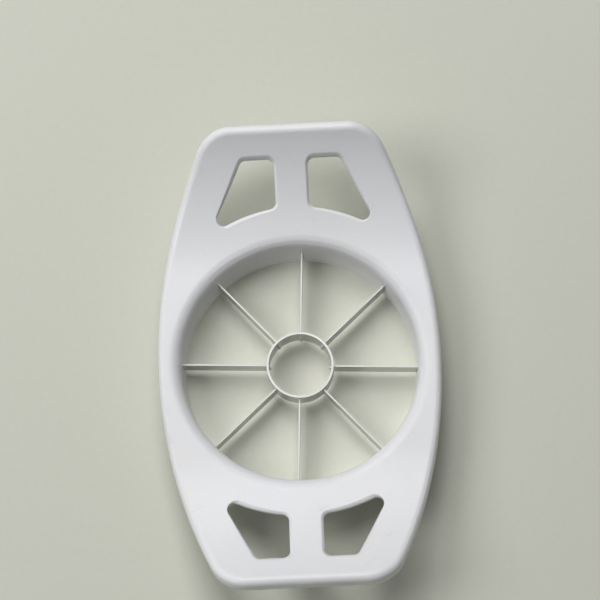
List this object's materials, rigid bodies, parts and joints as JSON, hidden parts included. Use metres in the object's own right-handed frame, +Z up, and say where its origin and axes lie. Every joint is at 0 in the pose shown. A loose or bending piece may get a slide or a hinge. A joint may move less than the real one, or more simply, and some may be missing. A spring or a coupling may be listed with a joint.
{
  "type": "apple slicer and corer",
  "caption": "Hand tool that cuts an apple into wedges and a core: oval white frame with raised handles at both ends, radial steel blades and a core ring.",
  "frame": {"origin": "middle of the foot that the tool stands on", "axes": "+Z up out of the well, +Y along the two handles, +X across"},
  "size_m": [0.111, 0.183, 0.0414],
  "materials": {
    "white_moulding": "satin",
    "white_ring": "satin",
    "steel_tube": "drawn, bright",
    "steel_blade": "ground and polished"
  },
  "bodies": {
    "root": {"frame": "white_moulding", "retaining_ring": "white_ring", "core_ring": "steel_tube", "blade_1": "steel_blade", "blade_2": "steel_blade", "blade_3": "steel_blade", "blade_4": "steel_blade", "blade_5": "steel_blade", "blade_6": "steel_blade", "blade_7": "steel_blade", "blade_8": "steel_blade"}
  },
  "joints": []
}
